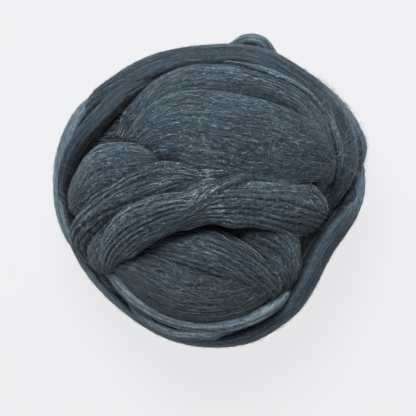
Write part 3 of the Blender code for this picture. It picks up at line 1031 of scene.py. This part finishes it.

# Strays come in patches: a patch's middle and its reach in degrees, how many fibres it has, how long they
# are, how far their free ends stand off, and how much paler painted light makes them.
Patch = namedtuple("Patch", "azimuth elevation reach count length stand pale")
PATCHES = (
    Patch(0, 90, 88, 1500, (3, 10), (0.1, 0.6), 0),
    *(Patch(azimuth, 1, 17, 180, (3, 8), (0.1, 1.3), 0.1) for azimuth in range(0, 360, 30)),
    Patch(26, 8, 22, 700, (3, 8), (0.4, 3.0), 0.2),
    Patch(24, 40, 20, 650, (3, 7), (0.1, 0.6), 0),
    Patch(350, 62, 22, 650, (3, 7), (0.1, 0.6), 0),
    Patch(228, 30, 26, 260, (7, 18), (0.2, 1.4), 0.1),
    Patch(285, 38, 24, 180, (6, 14), (0.1, 1.0), 0.1),
    Patch(160, 30, 30, 60, (4, 9), (0.1, 0.6), 0),
)

# How far a stray's heading sways as it runs, in radians, and over what length.
SWAY, SWAY_LENGTH = 0.45, (4.0, 9.0)

# The ball's surface is looked for inwards from this far out, beyond all of it.
STRAY_START = 120.0


def stray_lines(patch, dice):
    """Curly lines that start in a patch and keep to the ball's outside, rising towards their free ends."""
    middle = directions(patch.azimuth, patch.elevation)
    beside = unit(np.cross(middle, (0.3, 0.2, -1.0)))
    turn = dice.uniform(0, TAU, (patch.count, 1))
    tilt = np.radians(patch.reach) * np.sqrt(dice.uniform(0, 1, (patch.count, 1)))
    sideways = beside * np.cos(turn) + np.cross(middle, beside) * np.sin(turn)
    way = middle * np.cos(tilt) + sideways * np.sin(tilt)
    length = dice.uniform(*patch.length, (patch.count, 1))
    step = length / (STRAY_POINTS - 1)
    heading, phase = dice.uniform(0, TAU, (2, patch.count, 1))
    bend = dice.normal(0, 0.9, (patch.count, 1))
    sway_length = dice.uniform(*SWAY_LENGTH, (patch.count, 1))
    ways = []
    for index in range(STRAY_POINTS):
        ways.append(way)
        share = index / (STRAY_POINTS - 1)
        angle = heading + bend * share + SWAY * np.sin(TAU * index * step / sway_length + phase)
        level = unit(np.cross((0.0, 0.0, 1.0), way))
        along = level * np.cos(angle) + np.cross(way, level) * np.sin(angle)
        way = unit(way + along * step / core_radius(way)[:, None])
    ways = np.stack(ways, 1)
    depths = [cover.ray_cast(Vector(place) * STRAY_START, Vector(-place))[3] or STRAY_START
              for place in ways.reshape(-1, 3)]
    radius = STRAY_START - np.array(depths).reshape(ways.shape[:2])
    for _ in range(3):
        padded = np.pad(radius, ((0, 0), (1, 1)), mode="edge")
        radius = np.maximum(radius, (padded[:, :-2] + padded[:, 2:]) / 2)
    rise = dice.uniform(*patch.stand, (patch.count, 1)) * np.linspace(0, 1, STRAY_POINTS) ** 1.6
    return ways * (radius + 0.1 + rise)[..., None]


strays = np.concatenate([stray_lines(patch, dice) for patch in PATCHES])
stray_radius = dice.uniform(*STRAY_RADIUS, (len(strays), 1))
stray_shade = dice.beta(1.4, 2.4, (len(strays), 1)) + dice.normal(0, 0.1, (len(strays), STRAY_POINTS))
# Strays in the rim patches get painted light, and all get painted shade in hollows and painted light on the
# rim.
stray_shade += np.repeat([patch.pale for patch in PATCHES], [patch.count for patch in PATCHES])[:, None]
stray_shade -= FIBRE_SHADING_SHARE * surroundings(strays.reshape(-1, 3)).reshape(stray_shade.shape)
for number, start in enumerate(range(0, len(strays), FIBRES_IN_A_PIECE), 1):
    some = slice(start, start + FIBRES_IN_A_PIECE)
    fibre_piece(f"strays_{number}", strays[some], stray_radius[some], stray_shade[some], loose_wool)

# --------------------------------------------------------------------------------------------------------
# Floor, light and camera: a table under soft light from beyond the ball's far side, seen from straight
# above. Its colour is dark but it glows white, so it looks evenly white and takes only a faint shadow.
# --------------------------------------------------------------------------------------------------------

TABLE_SIZE = 6.0
CAMERA_DISTANCE = 1.0
PICTURE_WIDTH = 0.208
PICTURE_MIDDLE = (-0.00175, -0.0085)
SENSOR = 36.0

table = bmesh.new()
bmesh.ops.create_grid(table, x_segments=1, y_segments=1, size=TABLE_SIZE / 2)
table_mesh = bpy.data.meshes.new("table_top")
table.to_mesh(table_mesh)
table.free()
table_top = bpy.data.objects.new("table_top", table_mesh)
bpy.context.scene.collection.objects.link(table_top)
paper = bpy.data.materials.new("white_paper")
paper.use_nodes = True
paper_shader = paper.node_tree.nodes["Principled BSDF"]
paper_shader.inputs["Base Color"].default_value = linear("#3c3c3d")
paper_shader.inputs["Roughness"].default_value = 0.9
paper_shader.inputs["Emission Color"].default_value = linear("#f0f0f2")
paper_shader.inputs["Emission Strength"].default_value = 0.89
table_mesh.materials.append(paper)

Light = namedtuple("Light", "name place size watts colour")
LIGHTS = (
    Light("window", (-0.14, 0.66, 1.12), 0.55, 28.0, "#fcfdff"),
)
for light in LIGHTS:
    lamp = bpy.data.lights.new(light.name, "AREA")
    lamp.size = light.size
    lamp.energy = light.watts
    lamp.color = linear(light.colour)[:3]
    lamp_object = bpy.data.objects.new(light.name, lamp)
    bpy.context.scene.collection.objects.link(lamp_object)
    lamp_object.location = light.place
    lamp_object.rotation_euler = lamp_object.location.to_track_quat("Z", "Y").to_euler()

sky = bpy.data.worlds.new("soft_room")
sky.use_nodes = True
sky.node_tree.nodes["Background"].inputs["Color"].default_value = linear("#f2f5fa")
sky.node_tree.nodes["Background"].inputs["Strength"].default_value = 0.28
bpy.context.scene.world = sky

lens = bpy.data.cameras.new("overhead")
lens.sensor_width = SENSOR
lens.lens = SENSOR * CAMERA_DISTANCE / PICTURE_WIDTH
camera = bpy.data.objects.new("overhead", lens)
camera.location = (*PICTURE_MIDDLE, MIDDLE_HEIGHT * MM + CAMERA_DISTANCE)
bpy.context.scene.collection.objects.link(camera)
bpy.context.scene.camera = camera
bpy.context.scene.view_settings.view_transform = "Standard"
